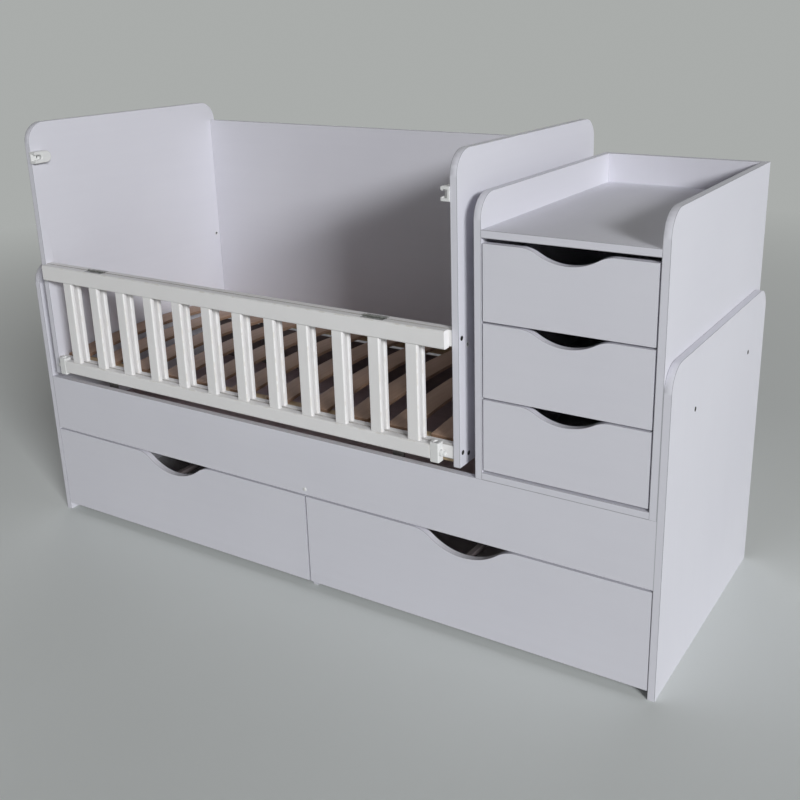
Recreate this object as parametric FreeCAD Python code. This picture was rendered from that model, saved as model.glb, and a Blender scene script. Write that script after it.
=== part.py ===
import FreeCAD, Part
import math
import os

# Convertible crib: a crib box that rocks on four links and has a fold-down slatted gate, beside a changing
# dresser, both on a base with two wide drawers. Millimetres. X runs along the length, +X towards the dresser,
# Y runs from front to back and Z is up. The origin is on the floor under the middle of the base.

# Base
LENGTH = 1732.0
DEPTH = 650.0
BOARD = 16.0
END_HEIGHT = 706.0
END_RADIUS = 50.0
FLOOR_GAP = 20.0
BASE_FRONT_HEIGHT = 225.0
DRAWER_GAP = 4.0
APRON_HEIGHT = 149.0
CLEAT = 15.0
CLEAT_LIFT = 1.0
DECK_THICK = 10.0
DECK_GAP = 2.0
DIVIDER_SETBACK = 20.0
STRETCHER_HEIGHT = 100.0
STRETCHER_LIFT = 60.0

# Dresser
DRESSER_WIDTH = 392.0
DRESSER_RADIUS = 50.0
DRESSER_FRONT_HEIGHT = 156.0
DRESSER_FLOOR_GAP = 6.0
DRESSER_DRAWERS = ("bottom", "middle", "top")
TRAY_GAP = 10.0
TRAY_RIM = 68.0

# Drawer boxes
BASE_SIDE_GAP = 1.5
DRESSER_SIDE_GAP = 3.0
BOX_BOTTOM = 3.0
BASE_BOX_LIFT = 20.0
BASE_BOX_HEIGHT = 150.0
BASE_BOX_BACK_GAP = 48.0
DRESSER_BOX_LIFT = 12.0
DRESSER_BOX_HEIGHT = 110.0
DRESSER_BOX_BACK_GAP = 98.0

# Runners, each a pair of nested channels
RUNNER_SPACE = 13.0
RUNNER_HEIGHT = 35.0
RUNNER_WALL = 1.5
RUNNER_DEPTH = 10.5
RUNNER_PLAY = 0.3
RUNNER_RISE = 45.0
RUNNER_SETBACK = 32.0
RUNNER_END = 25.0

# Wave cut-outs that serve as handles
BASE_WAVE_WIDTH = 217.0
BASE_WAVE_DEPTH = 43.0
DRESSER_WAVE_WIDTH = 169.0
DRESSER_WAVE_DEPTH = 26.0
WAVE_SHOULDER_SHARE = 0.4

# Crib box
SWING_GAP = 31.0
CRIB_LIFT = 18.0
HEADBOARD_HEIGHT = 655.0
HEADBOARD_RADIUS = 50.0
CRIB_PROUD = 8.0
BACK_DROP = 52.0

# Slatted crib floor
SLAT_RAIL_DEPTH = 28.0
SLAT_RAIL_HEIGHT = 43.0
SLAT_THICK = 8.0
SLAT_WIDTH = 62.0
SLAT_COUNT = 11
SLAT_END_GAP = 8.5
SLAT_CROWN = 18.0
SLAT_SEAT = 22.0
LEVEL_HOLE_RADIUS = 4.0
LEVEL_RISE = 240.0

# Gate halves
GATE_THICK = 20.0
GATE_DROP = 69.0
GATE_LIFT = 15.0
GATE_TOP_RAIL = 39.0
GATE_LATCH_RAIL = 33.0
RAIL_EASE = 2.5
HALF_GAP = 1.0
SEAM_SETBACK = 1.5
FOLDING_END_GAP = 7.0
LATCH_END_GAP = 47.0
BALUSTERS = 12
BALUSTER_END = 82.0
BALUSTER_WIDTH = 30.0
BALUSTER_THICK = 12.0
BALUSTER_EASE = 2.5

# Gate hinges
HINGE_INSET = 180.0
HINGE_LENGTH = 56.0
HINGE_LEAF = 15.0
HINGE_PLATE = 1.5
KNUCKLE_RADIUS = 3.0
HINGE_PIN_RADIUS = 1.5
HINGE_PLAY = 0.3
HINGE_PIN_PLAY = 0.04

# Gate latches
LATCH_WIDTH = 22.0
LATCH_HEIGHT = 44.0
LATCH_DROP = 5.0
LATCH_EASE = 2.0
RECESS_LENGTH = 15.0
RECESS_WIDTH = 11.0
RECESS_DEPTH = 6.0
PIN_RADIUS = 7.0
PIN_SHOULDER = 5.0
NOSE_RADIUS = 5.0
PIN_REACH = 13.0
PIN_TRAVEL = 8.0
PIN_BORE = 18.0
PIN_PLAY = 0.05
PIN_RISE = 15.0
PIN_EASE = 1.5
BORE_MOUTH = 1.0
BORE_MOUTH_DEPTH = 2.0
CATCH_ARM = 6.0
CATCH_LENGTH = 50.0
CATCH_PROUD = 3.0
CATCH_WEB = 4.0
CATCH_PLAY = 1.0
CATCH_LIP = 4.0
CATCH_LIP_DROP = 2.5
CATCH_EASE = 1.8
CATCH_RAMP = 8.0
CATCH_CREST = 10.0

# Links that the crib box hangs on
SWING_INSET = 160.0
LINK_LENGTH = 94.0
LINK_DROP = 14.0
LINK_THICK = 5.0
LINK_RADIUS = 12.0
LINK_EASE = 6.0
STUD_RADIUS = 4.0
STUD_PLAY = 0.05
STACK_GAP = 0.5
BRACKET_THICK = 3.0
BRACKET_WIDTH = 40.0
BRACKET_TAIL = 38.0
BRACKET_EASE = 6.0
HANGER_THICK = 3.0
HANGER_WIDTH = 30.0
HANGER_FLANGE = 15.0

# Places that follow from the sizes above
END_IN = LENGTH / 2 - BOARD
FRONT = -DEPTH / 2
BACK = DEPTH / 2
FRONT_INNER = FRONT + BOARD
BACK_INNER = BACK - BOARD
APRON_BOTTOM = FLOOR_GAP + BASE_FRONT_HEIGHT + DRAWER_GAP
APRON_TOP = APRON_BOTTOM + APRON_HEIGHT
DECK_BOTTOM = APRON_BOTTOM + CLEAT_LIFT + CLEAT

DRESSER_LEFT = END_IN - DRESSER_WIDTH
DRESSER_IN = (DRESSER_LEFT + BOARD, END_IN - BOARD)
DRESSER_FLOOR = APRON_TOP + BOARD
DRESSER_PITCH = DRESSER_FRONT_HEIGHT + DRAWER_GAP
LOWEST_FRONT = DRESSER_FLOOR + DRESSER_FLOOR_GAP
TRAY_BOTTOM = LOWEST_FRONT + len(DRESSER_DRAWERS) * DRESSER_PITCH - DRAWER_GAP + TRAY_GAP
TRAY_TOP = TRAY_BOTTOM + BOARD
DRESSER_TOP = TRAY_TOP + TRAY_RIM
BASE_BOX_LENGTH = BACK_INNER - BASE_BOX_BACK_GAP - FRONT_INNER
DRESSER_BOX_LENGTH = BACK_INNER - DRESSER_BOX_BACK_GAP - FRONT_INNER

CRIB_OUT = (-END_IN + SWING_GAP, DRESSER_LEFT - SWING_GAP)
CRIB_IN = (CRIB_OUT[0] + BOARD, CRIB_OUT[1] - BOARD)
CRIB_MIDDLE = (CRIB_IN[0] + CRIB_IN[1]) / 2
CRIB_BOTTOM = APRON_TOP + CRIB_LIFT
CRIB_TOP = CRIB_BOTTOM + HEADBOARD_HEIGHT
CRIB_FRONT = FRONT - CRIB_PROUD

SEAM = CRIB_FRONT + SEAM_SETBACK
FIXED_HALF = (SEAM + HALF_GAP / 2, SEAM + HALF_GAP / 2 + GATE_THICK)
FOLDING_HALF = (SEAM - HALF_GAP / 2 - GATE_THICK, SEAM - HALF_GAP / 2)
GATE_BOTTOM = CRIB_BOTTOM + GATE_LIFT
GATE_HEIGHT = (HEADBOARD_HEIGHT - GATE_LIFT - GATE_DROP - HALF_GAP) / 2
GATE_TOP = GATE_BOTTOM + GATE_HEIGHT
HINGE_AXIS_Z = GATE_TOP + HALF_GAP / 2
FOLDING_X = (CRIB_IN[0] + FOLDING_END_GAP, CRIB_IN[1] - FOLDING_END_GAP)
LATCH_RAIL_X = (CRIB_IN[0] + LATCH_END_GAP, CRIB_IN[1] - LATCH_END_GAP)
HINGE_MIDDLES = (FOLDING_X[0] + HINGE_INSET, FOLDING_X[1] - HINGE_INSET)

SLAT_FRONT = FIXED_HALF[1]
SLAT_BACK = BACK_INNER
SLAT_RAIL_TOP = CRIB_BOTTOM + SLAT_RAIL_HEIGHT
SLAT_PITCH = (CRIB_IN[1] - CRIB_IN[0] - 2 * SLAT_END_GAP - SLAT_WIDTH) / (SLAT_COUNT - 1)
LEVEL_HOLE_Y = (SLAT_FRONT + SLAT_RAIL_DEPTH / 2, SLAT_BACK - SLAT_RAIL_DEPTH / 2)
LEVEL_HOLE_Z = CRIB_BOTTOM + SLAT_RAIL_HEIGHT / 2 + LEVEL_RISE

LATCH_TOP = GATE_BOTTOM - LATCH_DROP + LATCH_HEIGHT
PIN_Y = (FOLDING_HALF[0] + FOLDING_HALF[1]) / 2
PIN_Z = GATE_BOTTOM + PIN_RISE
RAISED_PIN_Y = 2 * SEAM - PIN_Y
RAISED_PIN_Z = 2 * HINGE_AXIS_Z - PIN_Z
CATCH_DEPTH = LATCH_END_GAP - LATCH_WIDTH - PIN_SHOULDER - CATCH_PLAY

SWING_X = (CRIB_IN[0] + SWING_INSET, CRIB_IN[1] - SWING_INSET)
UPPER_PIVOT = APRON_TOP - LINK_DROP
LOWER_PIVOT = UPPER_PIVOT - LINK_LENGTH

X_AXIS = FreeCAD.Vector(1, 0, 0)
Y_AXIS = FreeCAD.Vector(0, 1, 0)
Z_AXIS = FreeCAD.Vector(0, 0, 1)


def point(x, y, z):
    return FreeCAD.Vector(x, y, z)


def ordered(first, second):
    return (min(first, second), max(first, second))


def block(x, y, z):
    """Rectangular solid between pairs of limits."""
    return Part.makeBox(x[1] - x[0], y[1] - y[0], z[1] - z[0], point(x[0], y[0], z[0]))


def rod(start, axis, radius, length):
    return Part.makeCylinder(radius, length, start, axis)


def prism(points, path):
    """Straight-sided outline pushed along a vector."""
    return Part.Face(Part.makePolygon(points + points[:1])).extrude(path)


def fused(shapes):
    whole = shapes[0]
    for shape in shapes[1:]:
        whole = whole.fuse(shape)
    return whole.removeSplitter()


def without(shape, cutters):
    for cutter in cutters:
        shape = shape.cut(cutter)
    return shape


def eased(shape, direction, size):
    """Takes the corners off the straight edges that run along a direction."""
    chosen = []
    for edge in shape.Edges:
        span = edge.Vertexes[-1].Point - edge.Vertexes[0].Point
        if span.Length > 0 and abs(abs(span.dot(direction)) / span.Length - 1) < 1e-6:
            chosen.append(edge)
    return shape.makeChamfer(size, chosen)


def save(name, *solids):
    Part.makeCompound(list(solids)).exportStep(os.path.join("parts", name + ".step"))


def upright_board(x, y, z, front_radius, back_radius):
    """Board across the depth with rounded top corners; a radius of zero leaves a corner square."""
    board = block(x, y, z)
    for depth, radius in ((y[0], front_radius), (y[1], back_radius)):
        if radius > 0:
            corner = point(sum(x) / 2, depth, z[1])
            chosen = [e for e in board.Edges if (e.CenterOfMass - corner).Length < 1e-6]
            board = board.makeFillet(radius, chosen)
    return board


def wave_cutter(middle, top, width, depth):
    """Prism with a bowl between two rounded shoulders, to cut a hand-hold in a drawer front."""
    reach = (width * width / 4 + depth * depth) / (2 * depth)
    turn = math.asin(width / 2 / reach)
    radius = reach * WAVE_SHOULDER_SHARE

    def shoulder(side, angle):
        x = middle + side * (width / 2 - radius * math.sin(angle))
        return point(x, FRONT, top - radius * (1 - math.cos(angle)))
    lowest = point(middle, FRONT, top - depth)
    corners = [shoulder(side, 0) + point(0, 0, depth) for side in (1, -1)]
    outline = Part.Wire([
        Part.makeLine(corners[0], corners[1]),
        Part.makeLine(corners[1], shoulder(-1, 0)),
        Part.Arc(shoulder(-1, 0), shoulder(-1, turn / 2), shoulder(-1, turn)).toShape(),
        Part.Arc(shoulder(-1, turn), lowest, shoulder(1, turn)).toShape(),
        Part.Arc(shoulder(1, turn), shoulder(1, turn / 2), shoulder(1, 0)).toShape(),
        Part.makeLine(shoulder(1, 0), corners[0]),
    ])
    return Part.Face(outline).extrude(point(0, BOARD, 0))


def channel(web, lip, middle, half_height, y):
    """Channel along Y with its web at one X and its flanges out to another."""
    inner = web + math.copysign(RUNNER_WALL, lip - web)
    flange = half_height - RUNNER_WALL
    outline = [(lip, half_height), (web, half_height), (web, -half_height), (lip, -half_height),
               (lip, -flange), (inner, -flange), (inner, flange), (lip, flange)]
    return prism([point(px, y[0], middle + pz) for px, pz in outline], point(0, y[1] - y[0], 0))


def runner_pair(opening, box_bottom, box_length, moving):
    """Runner members on both sides of a drawer: those on the carcass, or those that move with the box."""
    y = (FRONT + RUNNER_SETBACK, FRONT_INNER + box_length - RUNNER_END)
    middle = box_bottom + RUNNER_RISE
    pair = []
    for face, side in ((opening[0], 1), (opening[1], -1)):
        if moving:
            half_height = RUNNER_HEIGHT / 2 - RUNNER_WALL - RUNNER_PLAY
            web = face + side * RUNNER_SPACE
            lip = face + side * (RUNNER_WALL + RUNNER_PLAY)
        else:
            half_height = RUNNER_HEIGHT / 2
            web = face
            lip = face + side * RUNNER_DEPTH
        pair.append(channel(web, lip, middle, half_height, y))
    return pair


def save_drawer(name, opening, front_x, front_z, box_z, box_length, wave):
    """Front with its wave, box walls, thin bottom and the runner members that move with them."""
    front = block(front_x, (FRONT, FRONT_INNER), front_z)
    save(name + "_front", front.cut(wave_cutter(sum(front_x) / 2, front_z[1], *wave)))
    box = (opening[0] + RUNNER_SPACE, opening[1] - RUNNER_SPACE)
    back = FRONT_INNER + box_length
    left = block((box[0], box[0] + BOARD), (FRONT_INNER, back), box_z)
    right = block((box[1] - BOARD, box[1]), (FRONT_INNER, back), box_z)
    rear = block((box[0] + BOARD, box[1] - BOARD), (back - BOARD, back), box_z)
    save(name + "_walls", left, right, rear)
    save(name + "_bottom", block(box, (FRONT_INNER, back), (box_z[0] - BOX_BOTTOM, box_z[0])))
    save(name + "_runners", *runner_pair(opening, box_z[0], box_length, True))


def save_base_drawers():
    rails = []
    front_z = (FLOOR_GAP, FLOOR_GAP + BASE_FRONT_HEIGHT)
    box_bottom = FLOOR_GAP + BASE_BOX_LIFT
    box_z = (box_bottom, box_bottom + BASE_BOX_HEIGHT)
    wave = (BASE_WAVE_WIDTH, BASE_WAVE_DEPTH)
    for name, side in (("left_base_drawer", -1), ("right_base_drawer", 1)):
        opening = ordered(side * BOARD / 2, side * END_IN)
        front_x = ordered(side * DRAWER_GAP / 2, side * (END_IN - BASE_SIDE_GAP))
        save_drawer(name, opening, front_x, front_z, box_z, BASE_BOX_LENGTH, wave)
        rails += runner_pair(opening, box_bottom, BASE_BOX_LENGTH, False)
    save("base_drawer_rails", *rails)


def save_dresser_drawers():
    rails = []
    front_x = (DRESSER_IN[0] + DRESSER_SIDE_GAP, DRESSER_IN[1] - DRESSER_SIDE_GAP)
    wave = (DRESSER_WAVE_WIDTH, DRESSER_WAVE_DEPTH)
    for row, level in enumerate(DRESSER_DRAWERS):
        bottom = LOWEST_FRONT + row * DRESSER_PITCH
        front_z = (bottom, bottom + DRESSER_FRONT_HEIGHT)
        box_bottom = bottom + DRESSER_BOX_LIFT
        box_z = (box_bottom, box_bottom + DRESSER_BOX_HEIGHT)
        save_drawer(level + "_dresser_drawer", DRESSER_IN, front_x, front_z, box_z, DRESSER_BOX_LENGTH, wave)
        rails += runner_pair(DRESSER_IN, box_bottom, DRESSER_BOX_LENGTH, False)
    save("dresser_drawer_rails", *rails)


def save_base():
    """Carcass of the base, with the bed deck lying low between the aprons."""
    inside = (-END_IN, END_IN)
    apron_z = (APRON_BOTTOM, APRON_TOP)
    ends = (FRONT, BACK)
    left = upright_board((-LENGTH / 2, -END_IN), ends, (0, END_HEIGHT), END_RADIUS, END_RADIUS)
    right = upright_board((END_IN, LENGTH / 2), ends, (0, END_HEIGHT), END_RADIUS, END_RADIUS)
    save("left_end_panel", left)
    save("right_end_panel", right)
    save("front_apron", block(inside, (FRONT, FRONT_INNER), apron_z))
    save("back_apron", block(inside, (BACK_INNER, BACK), apron_z))
    stretcher_z = (STRETCHER_LIFT, STRETCHER_LIFT + STRETCHER_HEIGHT)
    save("back_stretcher", block(inside, (BACK_INNER, BACK), stretcher_z))
    cleat_z = (DECK_BOTTOM - CLEAT, DECK_BOTTOM)
    cleats = [block(inside, (FRONT_INNER, FRONT_INNER + CLEAT), cleat_z),
              block(inside, (BACK_INNER - CLEAT, BACK_INNER), cleat_z)]
    save("deck_cleats", *cleats)
    divider = block((-BOARD / 2, BOARD / 2), (FRONT + DIVIDER_SETBACK, BACK_INNER), (0, DECK_BOTTOM))
    save("centre_divider", without(divider, cleats))
    deck_z = (DECK_BOTTOM, DECK_BOTTOM + DECK_THICK)
    halves = [(-END_IN, -DECK_GAP / 2), (DECK_GAP / 2, END_IN)]
    save("bed_deck", *[block(half, (FRONT_INNER, BACK_INNER), deck_z) for half in halves])


def save_dresser():
    """Dresser carcass, standing on the aprons, with a shallow tray on top."""
    z = (APRON_TOP, DRESSER_TOP)
    left_x = (DRESSER_LEFT, DRESSER_IN[0])
    right_x = (DRESSER_IN[1], END_IN)
    save("dresser_left_side", upright_board(left_x, (FRONT, BACK), z, DRESSER_RADIUS, 0))
    save("dresser_right_side", upright_board(right_x, (FRONT, BACK), z, DRESSER_RADIUS, 0))
    save("dresser_bottom", block(DRESSER_IN, (FRONT, BACK), (APRON_TOP, DRESSER_FLOOR)))
    save("dresser_tray", block(DRESSER_IN, (FRONT, BACK_INNER), (TRAY_BOTTOM, TRAY_TOP)))
    save("dresser_back", block(DRESSER_IN, (BACK_INNER, BACK), (DRESSER_FLOOR, DRESSER_TOP)))


def save_crib_box():
    """Headboards, back panel and slatted floor."""
    sides = (("left_headboard", (CRIB_OUT[0], CRIB_IN[0])), ("middle_headboard", (CRIB_IN[1], CRIB_OUT[1])))
    for name, x in sides:
        z = (CRIB_BOTTOM, CRIB_TOP)
        board = upright_board(x, (CRIB_FRONT, BACK), z, HEADBOARD_RADIUS, HEADBOARD_RADIUS)
        starts = [point(x[0], y, LEVEL_HOLE_Z) for y in LEVEL_HOLE_Y]
        level_holes = [rod(start, X_AXIS, LEVEL_HOLE_RADIUS, BOARD) for start in starts]
        save(name, without(board, level_holes))
    save("crib_back_panel", block(CRIB_IN, (BACK_INNER, BACK), (CRIB_BOTTOM, CRIB_TOP - BACK_DROP)))
    rail_z = (CRIB_BOTTOM, SLAT_RAIL_TOP)
    rails = [block(CRIB_IN, (SLAT_FRONT, SLAT_FRONT + SLAT_RAIL_DEPTH), rail_z),
             block(CRIB_IN, (SLAT_BACK - SLAT_RAIL_DEPTH, SLAT_BACK), rail_z)]
    save("slat_rails", *rails)
    middles = [CRIB_MIDDLE + (number - (SLAT_COUNT - 1) / 2) * SLAT_PITCH for number in range(SLAT_COUNT)]
    save("slats", *[bent_slat(middle) for middle in middles])


def bent_slat(middle):
    """Thin board bent upwards, with its ends lying on the slat rails."""
    front = SLAT_FRONT + SLAT_RAIL_DEPTH - SLAT_SEAT
    back = SLAT_BACK - SLAT_RAIL_DEPTH + SLAT_SEAT
    half = (back - front) / 2
    radius = (half * half + SLAT_CROWN * SLAT_CROWN) / (2 * SLAT_CROWN)
    spread = math.asin(half / radius)

    def on_arc(size, angle):
        y = (front + back) / 2 + size * math.sin(angle)
        z = SLAT_RAIL_TOP + SLAT_CROWN - radius + size * math.cos(angle)
        return point(middle - SLAT_WIDTH / 2, y, z)
    under = [on_arc(radius, angle) for angle in (-spread, 0, spread)]
    over = [on_arc(radius + SLAT_THICK, angle) for angle in (spread, 0, -spread)]
    outline = Part.Wire([Part.Arc(*under).toShape(), Part.makeLine(under[2], over[0]),
                         Part.Arc(*over).toShape(), Part.makeLine(over[2], under[0])])
    return Part.Face(outline).extrude(point(SLAT_WIDTH, 0, 0))


def gate_rail(x, half, z):
    return eased(block(x, half, z), X_AXIS, RAIL_EASE)


def balusters(half):
    middle = sum(half) / 2
    y = (middle - BALUSTER_THICK / 2, middle + BALUSTER_THICK / 2)
    z = (GATE_BOTTOM + GATE_LATCH_RAIL, GATE_TOP - GATE_TOP_RAIL)
    first = FOLDING_X[0] + BALUSTER_END
    pitch = (FOLDING_X[1] - BALUSTER_END - first) / (BALUSTERS - 1)
    bars = []
    for number in range(BALUSTERS):
        centre = first + number * pitch
        bar = block((centre - BALUSTER_WIDTH / 2, centre + BALUSTER_WIDTH / 2), y, z)
        bars.append(eased(bar, Z_AXIS, BALUSTER_EASE))
    return bars


def save_gate():
    """Fixed half between the headboards, and the half that folds down in front of it."""
    recesses = hinge_recesses()
    top_z = (GATE_TOP - GATE_TOP_RAIL, GATE_TOP)
    low_z = (GATE_BOTTOM, GATE_BOTTOM + GATE_LATCH_RAIL)
    fixed_top = without(gate_rail(CRIB_IN, FIXED_HALF, top_z), recesses)
    save("fixed_gate_rails", fixed_top, gate_rail(CRIB_IN, FIXED_HALF, low_z))
    save("fixed_gate_balusters", *balusters(FIXED_HALF))
    save("folding_gate_top_rail", without(gate_rail(FOLDING_X, FOLDING_HALF, top_z), recesses))
    save("folding_gate_latch_rail", gate_rail(LATCH_RAIL_X, FOLDING_HALF, low_z))
    save("folding_gate_balusters", *balusters(FOLDING_HALF))


def hinge_recesses():
    """Room for the hinge leaves and knuckles in the top faces of both top rails."""
    cutters = []
    reach = HINGE_LEAF + HINGE_PLAY
    for middle in HINGE_MIDDLES:
        x = (middle - HINGE_LENGTH / 2 - HINGE_PLAY, middle + HINGE_LENGTH / 2 + HINGE_PLAY)
        cutters.append(block(x, (SEAM - reach, SEAM + reach), (GATE_TOP - HINGE_PLATE, GATE_TOP)))
        start = point(x[0], SEAM, HINGE_AXIS_Z)
        cutters.append(rod(start, X_AXIS, KNUCKLE_RADIUS + HINGE_PLAY, x[1] - x[0]))
    return cutters


def hinge_leaf(middle, side, spans):
    """Leaf on one side of the seam, with knuckles over parts of its length, bored for the pin."""
    z = (GATE_TOP - HINGE_PLATE, GATE_TOP)
    near = SEAM + side * (KNUCKLE_RADIUS + HINGE_PLAY)
    x = (middle - HINGE_LENGTH / 2, middle + HINGE_LENGTH / 2)
    pieces = [block(x, ordered(near, SEAM + side * HINGE_LEAF), z)]
    for low, high in spans:
        pieces.append(rod(point(middle + low, SEAM, HINGE_AXIS_Z), X_AXIS, KNUCKLE_RADIUS, high - low))
        pieces.append(block((middle + low, middle + high), ordered(SEAM, near), z))
    bore = rod(point(x[0], SEAM, HINGE_AXIS_Z), X_AXIS, HINGE_PIN_RADIUS + HINGE_PIN_PLAY, HINGE_LENGTH)
    return fused(pieces).cut(bore)


def save_hinges():
    sixth = HINGE_LENGTH / 6
    half = HINGE_LENGTH / 2
    outer_spans = [(-half, -sixth - HINGE_PLAY), (sixth + HINGE_PLAY, half)]
    save("hinge_fixed_leaves", *[hinge_leaf(middle, 1, outer_spans) for middle in HINGE_MIDDLES])
    save("hinge_folding_leaves", *[hinge_leaf(middle, -1, [(-sixth, sixth)]) for middle in HINGE_MIDDLES])
    starts = [point(middle - half, SEAM, HINGE_AXIS_Z) for middle in HINGE_MIDDLES]
    save("hinge_pins", *[rod(start, X_AXIS, HINGE_PIN_RADIUS, HINGE_LENGTH) for start in starts])


def latch_block(face, side):
    """Block on the end of the latch rail, bored for the sprung pin, with an oval recess in its top."""
    end = face + side * LATCH_WIDTH
    body = block(ordered(face, end), FOLDING_HALF, (LATCH_TOP - LATCH_HEIGHT, LATCH_TOP))
    body = eased(body, Z_AXIS, LATCH_EASE)
    mouth = point(end, PIN_Y, PIN_Z)
    bores = [rod(mouth, -side * X_AXIS, PIN_RADIUS + PIN_PLAY, PIN_BORE),
             rod(mouth, -side * X_AXIS, PIN_RADIUS + BORE_MOUTH, BORE_MOUTH_DEPTH)]
    middle = (face + end) / 2
    straight = (RECESS_LENGTH - RECESS_WIDTH) / 2
    radius = RECESS_WIDTH / 2
    floor = LATCH_TOP - RECESS_DEPTH
    z = (floor, LATCH_TOP)
    recess = [block((middle - radius, middle + radius), (PIN_Y - straight, PIN_Y + straight), z)]
    ends = [point(middle, PIN_Y + way * straight, floor) for way in (-1, 1)]
    recess += [rod(end, Z_AXIS, radius, RECESS_DEPTH) for end in ends]
    return without(body, bores + recess)


def latch_pin(face, side):
    """Stepped round pin: a shoulder that slides in the block and a narrower nose with an eased tip."""
    end = face + side * LATCH_WIDTH
    tip = end + side * PIN_REACH
    length = PIN_REACH + PIN_BORE - PIN_TRAVEL
    nose = rod(point(tip, PIN_Y, PIN_Z), -side * X_AXIS, NOSE_RADIUS, length)
    nose = nose.makeChamfer(PIN_EASE, [e for e in nose.Edges if abs(e.CenterOfMass.x - tip) < 1e-6])
    start = point(end + side * PIN_SHOULDER, PIN_Y, PIN_Z)
    shoulder = rod(start, -side * X_AXIS, PIN_RADIUS, length - PIN_REACH + PIN_SHOULDER)
    return fused([nose, shoulder])


def gate_catch(face, side):
    """Pad with a round rear end, a lipped slot whose round end holds the pin, and a ramp at its mouth."""
    front = CRIB_FRONT - CATCH_PROUD
    opening = NOSE_RADIUS + CATCH_PLAY
    room = opening + CATCH_LIP_DROP
    half = room + CATCH_ARM
    rear = front + CATCH_LENGTH - half
    open_side = face + side * CATCH_DEPTH
    web = face + side * CATCH_WEB
    x = ordered(face, open_side)
    outer = fused([block(x, (front, rear), (RAISED_PIN_Z - half, RAISED_PIN_Z + half)),
                   rod(point(x[0], rear, RAISED_PIN_Z), X_AXIS, half, CATCH_DEPTH)])
    lips = open_side - side * CATCH_LIP
    body = outer
    for size, end in ((room, lips), (opening, open_side)):
        slot_x = ordered(web, end)
        body = body.cut(block(slot_x, (front, RAISED_PIN_Y), (RAISED_PIN_Z - size, RAISED_PIN_Z + size)))
        seat = point(slot_x[0], RAISED_PIN_Y, RAISED_PIN_Z)
        body = body.cut(rod(seat, X_AXIS, size, slot_x[1] - slot_x[0]))
    body = body.removeSplitter()
    rims = [e for e in body.Edges if all(abs(v.X - open_side) < 1e-6 for v in e.Vertexes)]
    rims = [e for e in rims if e.CenterOfMass.y > front + 1e-6]
    body = body.makeChamfer(CATCH_EASE, rims)
    outline = [(web, front), (web + side * CATCH_CREST, front + CATCH_RAMP), (web, front + CATCH_RAMP)]
    ramp = prism([point(px, py, RAISED_PIN_Z - room) for px, py in outline], point(0, 0, 2 * room))
    return fused([body, ramp])


def save_latches():
    ends = ((LATCH_RAIL_X[0], -1), (LATCH_RAIL_X[1], 1))
    save("latch_blocks", *[latch_block(*end) for end in ends])
    save("left_latch_pin", latch_pin(*ends[0]))
    save("right_latch_pin", latch_pin(*ends[1]))
    save("gate_catches", gate_catch(CRIB_IN[0], 1), gate_catch(CRIB_IN[1], -1))


def swing_corner(x, side):
    """Bracket on an apron, the link that hangs from it, and the hanger under a slat rail."""
    face = side * BACK_INNER
    link_out = face - side * (BRACKET_THICK + STACK_GAP)
    link_in = link_out - side * LINK_THICK
    hanger_out = link_in - side * STACK_GAP
    hanger_in = hanger_out - side * HANGER_THICK
    half = BRACKET_WIDTH / 2
    plate_z = (UPPER_PIVOT - BRACKET_TAIL, UPPER_PIVOT + LINK_RADIUS)
    plate = block((x - half, x + half), ordered(face, face - side * BRACKET_THICK), plate_z)
    upper_stud = rod(point(x, face, UPPER_PIVOT), -side * Y_AXIS, STUD_RADIUS, abs(face - link_in))
    bracket = fused([eased(plate, Y_AXIS, BRACKET_EASE), upper_stud])
    hanger_x = (x - HANGER_WIDTH / 2, x + HANGER_WIDTH / 2)
    strip_z = (LOWER_PIVOT - LINK_RADIUS, CRIB_BOTTOM)
    strip = block(hanger_x, ordered(hanger_in, hanger_out), strip_z)
    flange_y = ordered(hanger_out, hanger_out - side * HANGER_FLANGE)
    flange = block(hanger_x, flange_y, (CRIB_BOTTOM - HANGER_THICK, CRIB_BOTTOM))
    lower_stud = rod(point(x, hanger_in, LOWER_PIVOT), side * Y_AXIS, STUD_RADIUS, abs(link_out - hanger_in))
    hanger = fused([strip, flange, lower_stud])
    return bracket, swing_link(x, ordered(link_in, link_out)), hanger


def swing_link(x, y):
    z = (LOWER_PIVOT - LINK_RADIUS, UPPER_PIVOT + LINK_RADIUS)
    bar = eased(block((x - LINK_RADIUS, x + LINK_RADIUS), y, z), Y_AXIS, LINK_EASE)
    pivots = [point(x, y[0], height) for height in (LOWER_PIVOT, UPPER_PIVOT)]
    bores = [rod(pivot, Y_AXIS, STUD_RADIUS + STUD_PLAY, y[1] - y[0]) for pivot in pivots]
    return without(bar, bores)


def save_swing():
    """Four links that let the crib box rock along its length, with their brackets and hangers."""
    brackets = []
    hangers = []
    for end, x in zip(("left", "right"), SWING_X):
        for place, side in (("front", -1), ("back", 1)):
            bracket, link, hanger = swing_corner(x, side)
            save(place + "_" + end + "_link", link)
            brackets.append(bracket)
            hangers.append(hanger)
    save("swing_brackets", *brackets)
    save("swing_hangers", *hangers)


os.makedirs("parts", exist_ok=True)
save_base()
save_dresser()
save_base_drawers()
save_dresser_drawers()
save_crib_box()
save_gate()
save_hinges()
save_latches()
save_swing()
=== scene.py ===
import bpy
import math
from mathutils import Matrix, Vector


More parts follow.
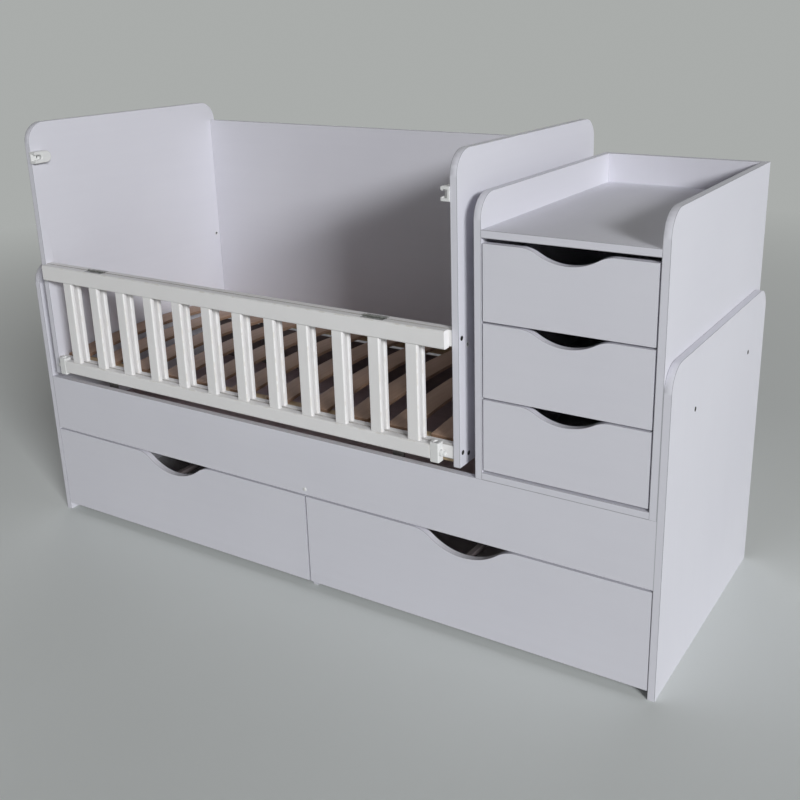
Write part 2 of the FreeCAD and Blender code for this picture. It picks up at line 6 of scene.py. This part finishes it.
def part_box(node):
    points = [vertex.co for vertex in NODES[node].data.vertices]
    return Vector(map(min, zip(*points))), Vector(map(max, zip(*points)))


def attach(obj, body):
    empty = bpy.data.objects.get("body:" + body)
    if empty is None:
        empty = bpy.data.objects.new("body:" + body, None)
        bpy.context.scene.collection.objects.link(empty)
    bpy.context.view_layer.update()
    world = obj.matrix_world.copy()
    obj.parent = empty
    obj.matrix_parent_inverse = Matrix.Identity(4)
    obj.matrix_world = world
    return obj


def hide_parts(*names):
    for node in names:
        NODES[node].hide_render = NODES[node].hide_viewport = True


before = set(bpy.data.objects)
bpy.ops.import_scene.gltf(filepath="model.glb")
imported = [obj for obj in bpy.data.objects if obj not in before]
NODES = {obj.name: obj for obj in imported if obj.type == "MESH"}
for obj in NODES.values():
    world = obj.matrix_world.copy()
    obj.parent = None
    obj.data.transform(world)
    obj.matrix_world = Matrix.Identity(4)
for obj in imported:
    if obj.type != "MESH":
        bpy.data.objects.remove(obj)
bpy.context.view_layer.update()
MILLIMETRE = 0.001

# Camera, in metres and degrees, and its focal length and optical centre in pixels of the 800 pixel frame
CAMERA_AT = (1.407, -2.0044, 1.3211)
CAMERA_YAW = 31.10
CAMERA_PITCH = 18.15
CAMERA_ROLL = -0.91
FRAME_PIXELS = 800.0
FOCAL_PIXELS = 1022.3
CENTRE_PIXELS = (446.65, 345.12)
SENSOR = 36.0

# Light: a cool soft box from the right, a low fill from behind, and a warm sky that is brighter near the horizon
LIT_POINT = (0.0, 0.0, 0.55)
LAMP_DISTANCE = 16.0
KEY_FROM = (0.79, -0.525, 0.33)
KEY_SIZE = (4.3, 2.0)
KEY_POWER = 1950.0
KEY_COLOUR = (0.965, 0.985, 1.0)
FILL_FROM = (-0.62, 0.75, 0.10)
FILL_STRENGTH = 1.4
FILL_ANGLE = 40.0
SKY_COLOUR = (1.0, 0.955, 0.93, 1.0)
SKY_LOW = 0.18
SKY_HIGH = 0.06
SKY_SPAN = (0.0, 0.8)

# Floor, which fades into the background between two distances
BACKGROUND = (0.40, 0.415, 0.405, 1.0)
FLOOR_COLOUR = (0.757, 0.785, 0.77, 1.0)
FLOOR_MOTTLE = 0.96
FLOOR_FADE = (1.5, 5.0)
FLOOR_REACH = 400.0

# White board: two tones, the joints of its edge strips, and dark brown painted shade on the back apron's face that
# looks to the front
BOARD_LIGHT = (0.745, 0.738, 0.796, 1.0)
BOARD_DARK = (0.705, 0.698, 0.76, 1.0)
EDGE_JOINT = (0.24, 0.24, 0.26, 1.0)
JOINT_REACH = (0.0006, 0.0016)
APRON_SHADE = ((0.20, 0.158, 0.155, 1.0), (0.155, 0.12, 0.118, 1.0))

# Painted gate: two tones, wood on its rubbed edges, and painted shade on the edges along the gap between its halves
PAINT = ((0.89, 0.876, 0.872, 1.0), (0.85, 0.836, 0.832, 1.0))
RUBBED_PAINT = (0.66, 0.61, 0.53, 1.0)
SEAM_SHADE = (0.20, 0.18, 0.165, 1.0)
GATE_SEAM = -0.3315
SEAM_REACH = (0.0045, 0.0035)

# Other finishes, each with two tones
SLAT_WOOD = ((0.35, 0.215, 0.148, 1.0), (0.49, 0.33, 0.238, 1.0))
SLAT_BAND = (0.25, 0.155, 0.10, 1.0)
DARK_PLY = (0.17, 0.10, 0.055, 1.0)
DECK_BROWN = ((0.38, 0.29, 0.305, 1.0), (0.50, 0.39, 0.41, 1.0))
BATTEN_BROWN = ((0.105, 0.088, 0.09, 1.0), (0.14, 0.12, 0.122, 1.0))
PINE = ((0.50, 0.36, 0.21, 1.0), (0.64, 0.49, 0.31, 1.0))
HARDBOARD = ((0.70, 0.70, 0.70, 1.0), (0.63, 0.63, 0.62, 1.0))
PLASTIC = ((0.80, 0.80, 0.79, 1.0), (0.75, 0.75, 0.745, 1.0))
ZINC = ((0.62, 0.63, 0.65, 1.0), (0.50, 0.51, 0.53, 1.0))
DARK_STEEL = ((0.40, 0.40, 0.385, 1.0), (0.26, 0.26, 0.25, 1.0))
BLACK_STEEL = ((0.075, 0.07, 0.065, 1.0), (0.045, 0.042, 0.04, 1.0))
OILED_STEEL = ((0.30, 0.285, 0.28, 1.0), (0.22, 0.21, 0.205, 1.0))

# Range of a noise over which tones and roughness change
NOISE_SPAN = (0.3, 0.7)

# Widths of the soft edges
BOARD_EASE = 0.0007
EASES = {"white": BOARD_EASE, "paint_x": 0.0015, "paint_z": 0.001, "plastic": 0.0008, "ply": 0.0006}
SHARPEST_BEND = 30.0
WELD_REACH = 0.00001

# Drawer fronts: width and depth of the wave that serves as a handle, and the shoulders' share of its curve
BASE_WAVE = (0.256, 0.043)
DRESSER_WAVE = (0.192, 0.026)
SHOULDER_SHARE = 0.35
WAVE_STEPS = 14

# Batten over the middle of each wide drawer
BATTEN_WIDTH = 0.016
BATTEN_THICK = 0.011
BATTEN_EASE = 0.002

# Bent slats: arc that their undersides follow, and the layers of the plywood
SLAT_RADIUS = 2.5761
SLAT_CENTRE_Y = -0.001
SLAT_CENTRE_Z = -2.0991
SLAT_THICK = 0.008
SLAT_LAYERS = 5.0

# Turned fittings: rings of (radius, height, sides), in millimetres from the seat
ROUND, SQUARE, HEXAGON = 0, 4, 6
RING_STEPS = 24
SMALL_RING_STEPS = 16
SOCKET_HEAD = ((5.2, -0.5, ROUND), (5.2, 0.15, ROUND), (4.8, 0.35, ROUND), (3.2, 0.35, ROUND),
               (2.8, 0.25, HEXAGON), (2.6, 0.03, HEXAGON))
HINGE_HEAD = ((2.4, -0.3, ROUND), (2.4, 0.02, ROUND), (2.1, 0.12, ROUND), (1.2, 0.1, ROUND), (1.0, 0.02, SQUARE))
CATCH_HEAD = ((3.2, -0.4, ROUND), (3.2, 0.05, ROUND), (2.8, 0.25, ROUND), (1.6, 0.2, ROUND), (1.3, 0.03, SQUARE))
HOLE_RIM = ((6.2, -0.2, ROUND), (6.2, 0.35, ROUND), (5.8, 0.5, ROUND), (4.3, 0.5, ROUND),
            (4.0, 0.2, ROUND), (4.0, -0.2, ROUND))
HOLE_INSERT = ((3.9, -6.4, ROUND), (3.9, -2.5, ROUND), (3.3, -2.5, ROUND), (2.9, -3.0, ROUND), (2.8, -6.0, ROUND))
APRON_CAP = ((5.0, -0.5, ROUND), (5.0, 0.4, ROUND), (4.4, 1.1, ROUND), (3.0, 1.5, ROUND), (1.2, 1.65, ROUND))

# Places of the fittings: (y, z) on the headboards and end panel, x along the gate and the apron
CRIB_SCREWS = ((-0.321, 0.4475), (-0.321, 0.6965), (-0.297, 0.4375), (0.295, 0.4375))
LEVEL_HOLES = ((-0.297, 0.6775), (0.295, 0.6775))
PANEL_BOLTS = ((-0.177, 0.578), (0.196, 0.584))
HINGE_MIDDLES = (-0.616, 0.224)
HINGE_SCREW_SIDES = (-0.016, 0.016)
HINGE_TOP = 0.716
HINGE_LEAVES = (("fixed", "crib_box", -0.3222), ("folding", "folding_gate", -0.3408))
CATCH_SCREW_Y, CATCH_SCREW_Z = -0.321, 0.987
CATCH_WEB = 0.004
APRON_CAP_X, APRON_CAP_Z = 0.001, 0.263


class Surface:
    """One node material; the methods add nodes and return their output sockets."""

    def __init__(self, name):
        self.material = bpy.data.materials.new(name)
        self.material.use_nodes = True
        self.tree = self.material.node_tree
        self.shader = self.tree.nodes["Principled BSDF"]
        self.coordinates = self.add("ShaderNodeTexCoord")
        self.place = self.coordinates.outputs["Object"]

    def add(self, kind, **settings):
        node = self.tree.nodes.new(kind)
        for key, value in settings.items():
            setattr(node, key, value)
        return node

    def put(self, socket, value):
        """Link a socket to another one, or give it a constant."""
        if isinstance(value, bpy.types.NodeSocket):
            self.tree.links.new(value, socket)
        else:
            socket.default_value = value

    def calc(self, operation, *values):
        node = self.add("ShaderNodeMath", operation=operation)
        for socket, value in zip(node.inputs, values):
            self.put(socket, value)
        return node.outputs[0]

    def times(self, first, second):
        return self.calc("MULTIPLY", first, second)

    def noise(self, scales, detail=3.0, distortion=0.0):
        """Noise with its own scale along each axis of the object."""
        scaled = self.add("ShaderNodeVectorMath", operation="MULTIPLY")
        self.put(scaled.inputs[0], self.place)
        self.put(scaled.inputs[1], scales)
        node = self.add("ShaderNodeTexNoise")
        self.put(node.inputs["Vector"], scaled.outputs[0])
        settings = {"Scale": 1.0, "Detail": detail, "Roughness": 0.55, "Distortion": distortion}
        for key, value in settings.items():
            self.put(node.inputs[key], value)
        return node.outputs[0]

    def spread(self, value, low, high, start=0.0, end=1.0):
        """Value carried from one range to another, and kept inside it."""
        node = self.add("ShaderNodeMapRange")
        for socket, number in zip(node.inputs, (value, low, high, start, end)):
            self.put(socket, number)
        return node.outputs[0]

    def mix(self, factor, first, second):
        node = self.add("ShaderNodeMix", data_type="RGBA")
        self.put(node.inputs["Factor"], factor)
        self.put(node.inputs[6], first)
        self.put(node.inputs[7], second)
        return node.outputs[2]

    def tones(self, noise, pair):
        """Colour that a noise moves between two tones."""
        return self.mix(self.spread(noise, *NOISE_SPAN), *pair)

    def sheen(self, noise, low, high):
        """Roughness that a noise moves between two values."""
        return self.spread(noise, *NOISE_SPAN, low, high)

    def part_of(self, vector, letter):
        node = self.add("ShaderNodeSeparateXYZ")
        self.put(node.inputs[0], vector)
        return node.outputs["XYZ".index(letter)]

    def axis(self, letter):
        """Place along one axis of the object."""
        return self.part_of(self.place, letter)

    def facing(self, letter):
        """Part of the surface direction along one axis of the object."""
        return self.part_of(self.coordinates.outputs["Normal"], letter)

    def on_edges(self):
        """One on eased edges and rounded corners, nothing on faces square to an axis."""
        flat, bent = 0.97, 0.8
        along = [self.calc("ABSOLUTE", self.facing(letter)) for letter in "XYZ"]
        squarest = self.calc("MAXIMUM", self.calc("MAXIMUM", along[0], along[1]), along[2])
        return self.spread(squarest, flat, bent)

    def finish(self, colour, roughness, height, depth):
        """Join the parts of the look to the shader; height and depth give the relief."""
        self.put(self.shader.inputs["Base Color"], colour)
        self.put(self.shader.inputs["Roughness"], roughness)
        bump = self.add("ShaderNodeBump")
        self.put(bump.inputs["Strength"], 1.0)
        self.put(bump.inputs["Distance"], depth)
        self.put(bump.inputs["Height"], height)
        self.put(self.shader.inputs["Normal"], bump.outputs[0])
        return self.material


def stretched(across, along, letter):
    """Noise scales with another value along one axis."""
    return tuple(along if axis == letter else across for axis in "XYZ")


def even(scale):
    """The same noise scale along all axes."""
    return (scale, scale, scale)


def laminate(name, box=None, front_shaded=False):
    """Melamine board: pearly fine texture and faint streaks; with its box, grey joints along the edge strips.

    A board with front shade gets dark brown painted shade on the face that looks to the front."""
    cloud_share, streak_share, edge_share, joint_share = 0.6, 0.15, 0.35, 0.7
    streak_span, shade_turn, edge_turn = (0.35, 0.65), (-0.6, -0.9), 0.9
    s = Surface(name)
    sizes = [0.0, 0.0, 0.0] if box is None else [high - low for low, high in zip(*box)]
    longest = "XYZ"[sizes.index(max(sizes))]
    cloud = s.spread(s.noise(even(2.5)), *NOISE_SPAN)
    streak = s.spread(s.noise(stretched(70.0, 3.0, longest)), *streak_span)
    fine = s.noise(even(900.0), detail=2.0)
    tint = s.calc("ADD", s.times(cloud, cloud_share), s.times(streak, streak_share))
    colour = s.mix(tint, BOARD_LIGHT, BOARD_DARK)
    if box is not None:
        thin = sizes.index(min(sizes))
        across = s.axis("XYZ"[thin])
        low, high = (corner[thin] for corner in box)
        inward = s.calc("MINIMUM", s.calc("SUBTRACT", across, low), s.calc("SUBTRACT", high, across))
        on_edge = s.calc("LESS_THAN", s.calc("ABSOLUTE", s.facing("XYZ"[thin])), edge_turn)
        joint = s.times(s.spread(inward, *JOINT_REACH, 1.0, 0.0), on_edge)
        colour = s.mix(s.times(on_edge, edge_share), colour, BOARD_DARK)
        colour = s.mix(s.times(joint, joint_share), colour, EDGE_JOINT)
    if front_shaded:
        # Painted shade: the face that looks to the front turns dark brown, standing for the shade inside the base
        # behind the apron
        colour = s.mix(s.spread(s.facing("Y"), *shade_turn), colour, s.mix(streak, *APRON_SHADE))
    return s.finish(colour, s.sheen(fine, 0.38, 0.48), fine, depth=0.00005)


def painted(name, along):
    """Painted wood: the grain shows faintly through the paint, which is rubbed along edges; the edges beside the
    seam get painted shade of the gap.
    """
    rubbed_spots, rubbed_share, seam_shade_share = (0.5, 0.62), 0.4, 0.6
    s = Surface(name)
    grain = s.noise(stretched(160.0, 6.0, along), detail=4.0, distortion=0.4)
    colour = s.tones(s.noise(even(5.0)), PAINT)
    spots = s.spread(s.noise(even(45.0), detail=4.0), *rubbed_spots)
    colour = s.mix(s.times(s.times(spots, s.on_edges()), rubbed_share), colour, RUBBED_PAINT)
    # Painted shade: the eased edges beside the seam between the halves are darkened to stand for the shadow in the
    # gap
    beside = s.calc("ABSOLUTE", s.calc("SUBTRACT", s.axis("Y"), GATE_SEAM))
    seam_shade_mask = s.times(s.spread(beside, *SEAM_REACH), s.on_edges())
    colour = s.mix(s.times(seam_shade_mask, seam_shade_share), colour, SEAM_SHADE)
    return s.finish(colour, s.sheen(grain, 0.32, 0.44), grain, depth=0.00012)


def bent_ply():
    """Birch plywood with grain along the slat and the layers showing on the cut edges."""
    band_span, band_share, layer_span, layer_share = (0.35, 0.65), 0.35, (0.1, 0.6), 0.7
    lower_skin, upper_skin = (0.02, 0.06), (0.98, 0.94)
    s = Surface("bent_plywood")
    grain = s.noise(stretched(90.0, 3.5, "Y"), detail=5.0, distortion=0.8)
    broad = s.noise(stretched(14.0, 1.2, "Y"), detail=2.0)
    wood = s.tones(grain, SLAT_WOOD)
    wood = s.mix(s.times(s.spread(broad, *band_span), band_share), wood, SLAT_BAND)
    dy = s.calc("SUBTRACT", s.axis("Y"), SLAT_CENTRE_Y)
    dz = s.calc("SUBTRACT", s.axis("Z"), SLAT_CENTRE_Z)
    far = s.calc("SQRT", s.calc("ADD", s.times(dy, dy), s.times(dz, dz)))
    depth = s.calc("DIVIDE", s.calc("SUBTRACT", far, SLAT_RADIUS), SLAT_THICK)
    layers = s.calc("SINE", s.times(depth, SLAT_LAYERS * 2.0 * math.pi))
    inside = s.times(s.spread(depth, *lower_skin), s.spread(depth, *upper_skin))
    dark = s.times(s.spread(layers, *layer_span), inside)
    colour = s.mix(s.times(dark, layer_share), wood, DARK_PLY)
    return s.finish(colour, s.sheen(grain, 0.45, 0.62), grain, depth=0.00015)


def raw_wood(name, along, pair):
    """Bare wood or brown board with grain along one axis."""
    s = Surface(name)
    grain = s.noise(stretched(70.0, 2.5, along), detail=5.0, distortion=0.9)
    return s.finish(s.tones(grain, pair), s.sheen(grain, 0.5, 0.65), grain, depth=0.0002)


def hardboard():
    """White-faced hardboard: fine fibres and a faint mottle."""
    s = Surface("drawer_hardboard")
    fibre = s.noise(even(420.0), detail=4.0)
    return s.finish(s.tones(s.noise(even(20.0)), HARDBOARD), s.sheen(fibre, 0.5, 0.64), fibre, depth=0.0001)


def metal(name, pair, rough):
    """Plated steel: drawn scratches along the strip and faint spangle."""
    spangle_span, smoother, rougher = (0.35, 0.65), 0.08, 0.1
    s = Surface(name)
    scratch = s.noise(stretched(1200.0, 18.0, "Y"), detail=2.0)
    spangle = s.noise(even(160.0), detail=2.0)
    s.put(s.shader.inputs["Metallic"], 1.0)
    colour = s.mix(s.spread(spangle, *spangle_span), *pair)
    return s.finish(colour, s.sheen(scratch, rough - smoother, rough + rougher), scratch, depth=0.00002)


def plastic():
    """Moulded white plastic with a fine spark-eroded texture."""
    s = Surface("moulded_plastic")
    pebble = s.noise(even(1500.0), detail=1.0)
    return s.finish(s.tones(s.noise(even(40.0)), PLASTIC), s.sheen(pebble, 0.28, 0.42), pebble, depth=0.00004)


def ground():
    """Pale floor that keeps the shadows near the object and fades into the background further out."""
    s = Surface("pale_floor")
    cloud = s.noise(even(0.8), detail=2.0)
    darker = tuple(FLOOR_MOTTLE * part for part in FLOOR_COLOUR[:3]) + (1.0,)
    material = s.finish(s.tones(cloud, (FLOOR_COLOUR, darker)), s.sheen(cloud, 0.85, 0.95), cloud, depth=0.0)
    away = s.add("ShaderNodeVectorMath", operation="LENGTH")
    s.put(away.inputs[0], s.place)
    shown = s.add("ShaderNodeLightPath").outputs["Is Camera Ray"]
    glow = s.add("ShaderNodeEmission")
    s.put(glow.inputs["Color"], BACKGROUND)
    fade = s.add("ShaderNodeMixShader")
    s.put(fade.inputs[0], s.times(s.spread(away.outputs["Value"], *FLOOR_FADE), shown))
    s.put(fade.inputs[1], s.shader.outputs[0])
    s.put(fade.inputs[2], glow.outputs[0])
    s.put(s.tree.nodes["Material Output"].inputs["Surface"], fade.outputs[0])
    return material


def softened(piece, width):
    """Small rounded edges, added to a piece as modifiers."""
    weld = piece.modifiers.new("joined", "WELD")
    weld.merge_threshold = WELD_REACH
    bevel = piece.modifiers.new("soft_edges", "BEVEL")
    bevel.width = width
    bevel.segments = 2
    bevel.limit_method = "ANGLE"
    bevel.angle_limit = math.radians(SHARPEST_BEND)
    bevel.harden_normals = True
    bevel.use_clamp_overlap = True


def make_finishes():
    return {
        "white": laminate("white_laminate"),
        "paint_x": painted("painted_rails", "X"),
        "paint_z": painted("painted_balusters", "Z"),
        "ply": bent_ply(),
        "deck": raw_wood("brown_hardboard", "X", DECK_BROWN),
        "batten": raw_wood("brown_batten", "Y", BATTEN_BROWN),
        "pine": raw_wood("pine", "X", PINE),
        "hardboard": hardboard(),
        "steel": metal("zinc_steel", ZINC, rough=0.36),
        "dark": metal("dark_steel", DARK_STEEL, rough=0.34),
        "black": metal("blackened_steel", BLACK_STEEL, rough=0.45),
        "oiled": metal("oiled_steel", OILED_STEEL, rough=0.5),
        "plastic": plastic(),
    }


def finish_of(name):
    """Which finish a node of the frame has; boards are white."""
    if name == "slats":
        return "ply"
    if name == "bed_deck":
        return "deck"
    if name in ("deck_cleats", "slat_rails"):
        return "pine"
    if name.endswith("balusters"):
        return "paint_z"
    if "gate" in name and name.endswith(("rail", "rails")):
        return "paint_x"
    if name.startswith("hinge"):
        return "dark"
    if name.endswith("drawer_bottom"):
        return "hardboard"
    if name.endswith(("runners", "drawer_rails")):
        return "steel"
    if name.endswith(("link", "brackets", "hangers")):
        return "oiled"
    if "latch" in name or name == "gate_catches":
        return "plastic"
    return "white"


def dress_nodes(finishes):
    """Finish and soft edges for each node; a single board also gets a laminate made for its own box."""
    for name, node in NODES.items():
        key = finish_of(name)
        drawer_walls = name.endswith("walls")
        finish = finishes[key]
        if key == "white" and not drawer_walls:
            box = [list(corner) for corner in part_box(name)]
            finish = laminate(name + "_laminate", box, front_shaded=name == "back_apron")
        node.data.materials.clear()
        node.data.materials.append(finish)
        if key in EASES and not drawer_walls:
            softened(node, EASES[key])


def placed(name, verts, faces, body, slot, finish):
    """A new piece of the object, riding on one of its bodies."""
    mesh = bpy.data.meshes.new(name)
    mesh.from_pydata(verts, [], faces)
    mesh.materials.append(finish)
    piece = bpy.data.objects.new(name, mesh)
    bpy.context.scene.collection.objects.link(piece)
    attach(piece, body)
    return piece


def swept(sections):
    """Points and faces of a closed bar through sections with equal numbers of corners."""
    count = len(sections[0])
    verts = [corner for section in sections for corner in section]
    faces = [tuple(range(count))]
    for first in range(0, len(verts) - count, count):
        for corner in range(count):
            after = (corner + 1) % count
            faces.append((first + corner, first + count + corner, first + count + after, first + after))
    faces.append(tuple(reversed(range(len(verts) - count, len(verts)))))
    return verts, faces


def wave_line(middle, top, width, depth):
    """Points (x, z) along a hand-hold: a bowl between two rounded shoulders."""
    reach = (width * width / 4.0 + depth * depth) / (2.0 * depth)
    turn = math.asin(width / 2.0 / reach)
    shoulder = reach * SHOULDER_SHARE
    bowl = reach - shoulder
    half = []
    for step in range(WAVE_STEPS + 1):
        angle = turn * step / WAVE_STEPS
        half.append((width / 2.0 - shoulder * math.sin(angle), shoulder * (1.0 - math.cos(angle))))
    for step in range(WAVE_STEPS - 1, -1, -1):
        angle = turn * step / WAVE_STEPS
        half.append((bowl * math.sin(angle), depth - bowl * (1.0 - math.cos(angle))))
    left = [(middle - away, top - drop) for away, drop in half]
    return left + [(2.0 * middle - x, z) for x, z in reversed(left[:-1])]


def add_fronts():
    """Drawer fronts with the full width of their waves, in place of the solids with a narrower one."""
    fronts = {"left_base_drawer": BASE_WAVE, "right_base_drawer": BASE_WAVE}
    fronts.update({level + "_dresser_drawer": DRESSER_WAVE for level in ("bottom", "middle", "top")})
    for body, wave in fronts.items():
        node = body + "_front"
        (left, front, base), (right, rear, top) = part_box(node)
        line = [(left, top)] + wave_line((left + right) / 2.0, top, *wave) + [(right, top)]
        sections = [[(x, front, base), (x, front, z), (x, rear, z), (x, rear, base)] for x, z in line]
        finish = NODES[node].data.materials[0]
        piece = placed(body + "_wavy_front", *swept(sections), body, "white_laminate", finish)
        piece.data.shade_smooth()
        softened(piece, BOARD_EASE)
        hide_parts(node)


def add_battens(finish):
    """Bar from the front to the rear wall of each wide drawer, lying on the wall."""
    for body in ("left_base_drawer", "right_base_drawer"):
        (left, front, _), (right, rear, base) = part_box(body + "_walls")
        middle, half, ease, top = (left + right) / 2.0, BATTEN_WIDTH / 2.0, BATTEN_EASE, base + BATTEN_THICK
        outline = [(half, base), (half, top - ease), (half - ease, top),
                   (ease - half, top), (-half, top - ease), (-half, base)]
        sections = [[(middle + x, y, z) for x, z in outline] for y in (front, rear)]
        batten = placed(body + "_batten", *swept(sections), body, "brown_board", finish)
        softened(batten, BOARD_EASE)


def ring_corners(radius, height, sides, count):
    """Points of one ring of a turned fitting; with sides, it is a polygon, as in a key socket."""
    corners = []
    for step in range(count):
        angle = 2.0 * math.pi * step / count
        reach = radius
        if sides != ROUND:
            half = math.pi / sides
            reach = radius * math.cos(half) / math.cos(angle % (2.0 * half) - half)
        corners.append(Vector((reach * math.cos(angle), reach * math.sin(angle), height)))
    return corners


def turned(name, rings, places, body, slot, finish, count=RING_STEPS, hollow=False):
    """Small turned fittings, one at each (point, outward direction).

    The first and last rings are closed by flat faces; in a hollow fitting they are joined to each other."""
    verts = []
    faces = []
    for at, outward in places:
        turn = Vector(outward).to_track_quat("Z", "Y")
        starts = [len(verts) + ring * count for ring in range(len(rings))]
        for ring in rings:
            verts += [Vector(at) + turn @ (corner * MILLIMETRE) for corner in ring_corners(*ring, count)]
        pairs = list(zip(starts, starts[1:]))
        if hollow:
            pairs.append((starts[-1], starts[0]))
        else:
            faces.append(tuple(reversed(range(starts[0], starts[0] + count))))
            faces.append(tuple(range(starts[-1], starts[-1] + count)))
        for low, high in pairs:
            for step in range(count):
                after = (step + 1) % count
                faces.append((low + step, low + after, high + after, high + step))
    return placed(name, verts, faces, body, slot, finish)


def add_fittings(finishes):
    """Screw heads, hole rims and the cap on the apron, all seated in the faces that they enter."""
    right, left, front, up = (1, 0, 0), (-1, 0, 0), (0, -1, 0), (0, 0, 1)
    (left_out, _, _), (left_in, _, _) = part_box("left_headboard")
    (middle_in, _, _), (middle_out, _, _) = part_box("middle_headboard")
    outsides = ((left_out, left), (middle_out, right))
    faces = ((left_out, left), (left_in, right), (middle_in, left), (middle_out, right))
    places = [((x, y, z), outward) for x, outward in outsides for y, z in CRIB_SCREWS]
    turned("crib_screw_heads", SOCKET_HEAD, places, "crib_box", "dark_steel", finishes["black"])
    panel_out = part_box("right_end_panel")[1][0]
    places = [((panel_out, y, z), right) for y, z in PANEL_BOLTS]
    turned("panel_bolt_heads", SOCKET_HEAD, places, "base", "dark_steel", finishes["black"])
    places = [((x, y, z), outward) for x, outward in faces for y, z in LEVEL_HOLES]
    turned("level_hole_rims", HOLE_RIM, places, "crib_box", "white_plastic", finishes["plastic"], hollow=True)
    turned("level_hole_inserts", HOLE_INSERT, places, "crib_box", "dark_steel", finishes["black"])
    for name, body, y in HINGE_LEAVES:
        places = [((middle + side, y, HINGE_TOP), up) for middle in HINGE_MIDDLES for side in HINGE_SCREW_SIDES]
        turned(name + "_hinge_screws", HINGE_HEAD, places, body, "steel", finishes["steel"], SMALL_RING_STEPS)
    (catch_left, _, _), (catch_right, _, _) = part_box("gate_catches")
    places = [((x, CATCH_SCREW_Y, CATCH_SCREW_Z), outward)
              for x, outward in ((catch_left + CATCH_WEB, right), (catch_right - CATCH_WEB, left))]
    turned("catch_screws", CATCH_HEAD, places, "crib_box", "dark_steel", finishes["black"], SMALL_RING_STEPS)
    places = [((APRON_CAP_X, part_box("front_apron")[0][1], APRON_CAP_Z), front)]
    turned("apron_cap", APRON_CAP, places, "base", "white_plastic", finishes["plastic"])


def build_camera():
    yaw, pitch, roll = (math.radians(angle) for angle in (CAMERA_YAW, CAMERA_PITCH, CAMERA_ROLL))
    forward = Vector((-math.sin(yaw) * math.cos(pitch), math.cos(yaw) * math.cos(pitch), -math.sin(pitch)))
    level = Vector((math.cos(yaw), math.sin(yaw), 0.0))
    upward = level.cross(forward)
    right = math.cos(roll) * level + math.sin(roll) * upward
    up = math.cos(roll) * upward - math.sin(roll) * level
    data = bpy.data.cameras.new("camera")
    data.sensor_fit = "HORIZONTAL"
    data.sensor_width = SENSOR
    data.lens = FOCAL_PIXELS / FRAME_PIXELS * SENSOR
    data.shift_x = 0.5 - CENTRE_PIXELS[0] / FRAME_PIXELS
    data.shift_y = CENTRE_PIXELS[1] / FRAME_PIXELS - 0.5
    camera = bpy.data.objects.new("camera", data)
    bpy.context.scene.collection.objects.link(camera)
    turn = Matrix((right, up, -forward)).transposed()
    camera.matrix_world = Matrix.Translation(CAMERA_AT) @ turn.to_4x4()
    bpy.context.scene.camera = camera


def build_lamps():
    box = bpy.data.lights.new("soft_box", "AREA")
    box.energy = KEY_POWER
    box.color = KEY_COLOUR
    box.shape = "RECTANGLE"
    box.size, box.size_y = KEY_SIZE
    fill = bpy.data.lights.new("soft_fill", "SUN")
    fill.energy = FILL_STRENGTH
    fill.angle = math.radians(FILL_ANGLE)
    for data, comes_from in ((box, Vector(KEY_FROM)), (fill, Vector(FILL_FROM))):
        lamp = bpy.data.objects.new(data.name, data)
        bpy.context.scene.collection.objects.link(lamp)
        lamp.location = Vector(LIT_POINT) + LAMP_DISTANCE * comes_from.normalized()
        lamp.rotation_euler = comes_from.to_track_quat("Z", "Y").to_euler()
        lamp.visible_glossy = data is box


def build_sky():
    """Soft light from around; what is seen directly or mirrored is the plain background."""
    world = bpy.data.worlds.new("studio")
    world.use_nodes = True
    bpy.context.scene.world = world
    nodes, link = world.node_tree.nodes, world.node_tree.links.new
    soft = nodes["Background"]
    soft.inputs["Color"].default_value = SKY_COLOUR
    around = nodes.new("ShaderNodeSeparateXYZ")
    link(nodes.new("ShaderNodeTexCoord").outputs["Generated"], around.inputs[0])
    height = nodes.new("ShaderNodeMapRange")
    for socket, number in zip(list(height.inputs)[1:5], (*SKY_SPAN, SKY_LOW, SKY_HIGH)):
        socket.default_value = number
    link(around.outputs["Z"], height.inputs[0])
    link(height.outputs[0], soft.inputs["Strength"])
    seen = nodes.new("ShaderNodeBackground")
    seen.inputs["Color"].default_value = BACKGROUND
    path = nodes.new("ShaderNodeLightPath")
    shown = path.outputs["Is Camera Ray"]
    for ray in ("Is Glossy Ray", "Is Transmission Ray"):
        either = nodes.new("ShaderNodeMath")
        either.operation = "MAXIMUM"
        link(shown, either.inputs[0])
        link(path.outputs[ray], either.inputs[1])
        shown = either.outputs[0]
    choose = nodes.new("ShaderNodeMixShader")
    link(shown, choose.inputs[0])
    link(soft.outputs[0], choose.inputs[1])
    link(seen.outputs[0], choose.inputs[2])
    link(choose.outputs[0], nodes["World Output"].inputs["Surface"])


def build_floor():
    mesh = bpy.data.meshes.new("floor")
    corners = [(x * FLOOR_REACH, y * FLOOR_REACH, 0) for x, y in ((-1, -1), (1, -1), (1, 1), (-1, 1))]
    mesh.from_pydata(corners, [], [(0, 1, 2, 3)])
    floor = bpy.data.objects.new("floor", mesh)
    bpy.context.scene.collection.objects.link(floor)
    mesh.materials.append(ground())


finishes = make_finishes()
dress_nodes(finishes)
add_fronts()
add_battens(finishes["batten"])
add_fittings(finishes)
build_camera()
build_lamps()
build_sky()
build_floor()
bpy.context.scene.view_settings.view_transform = "Standard"
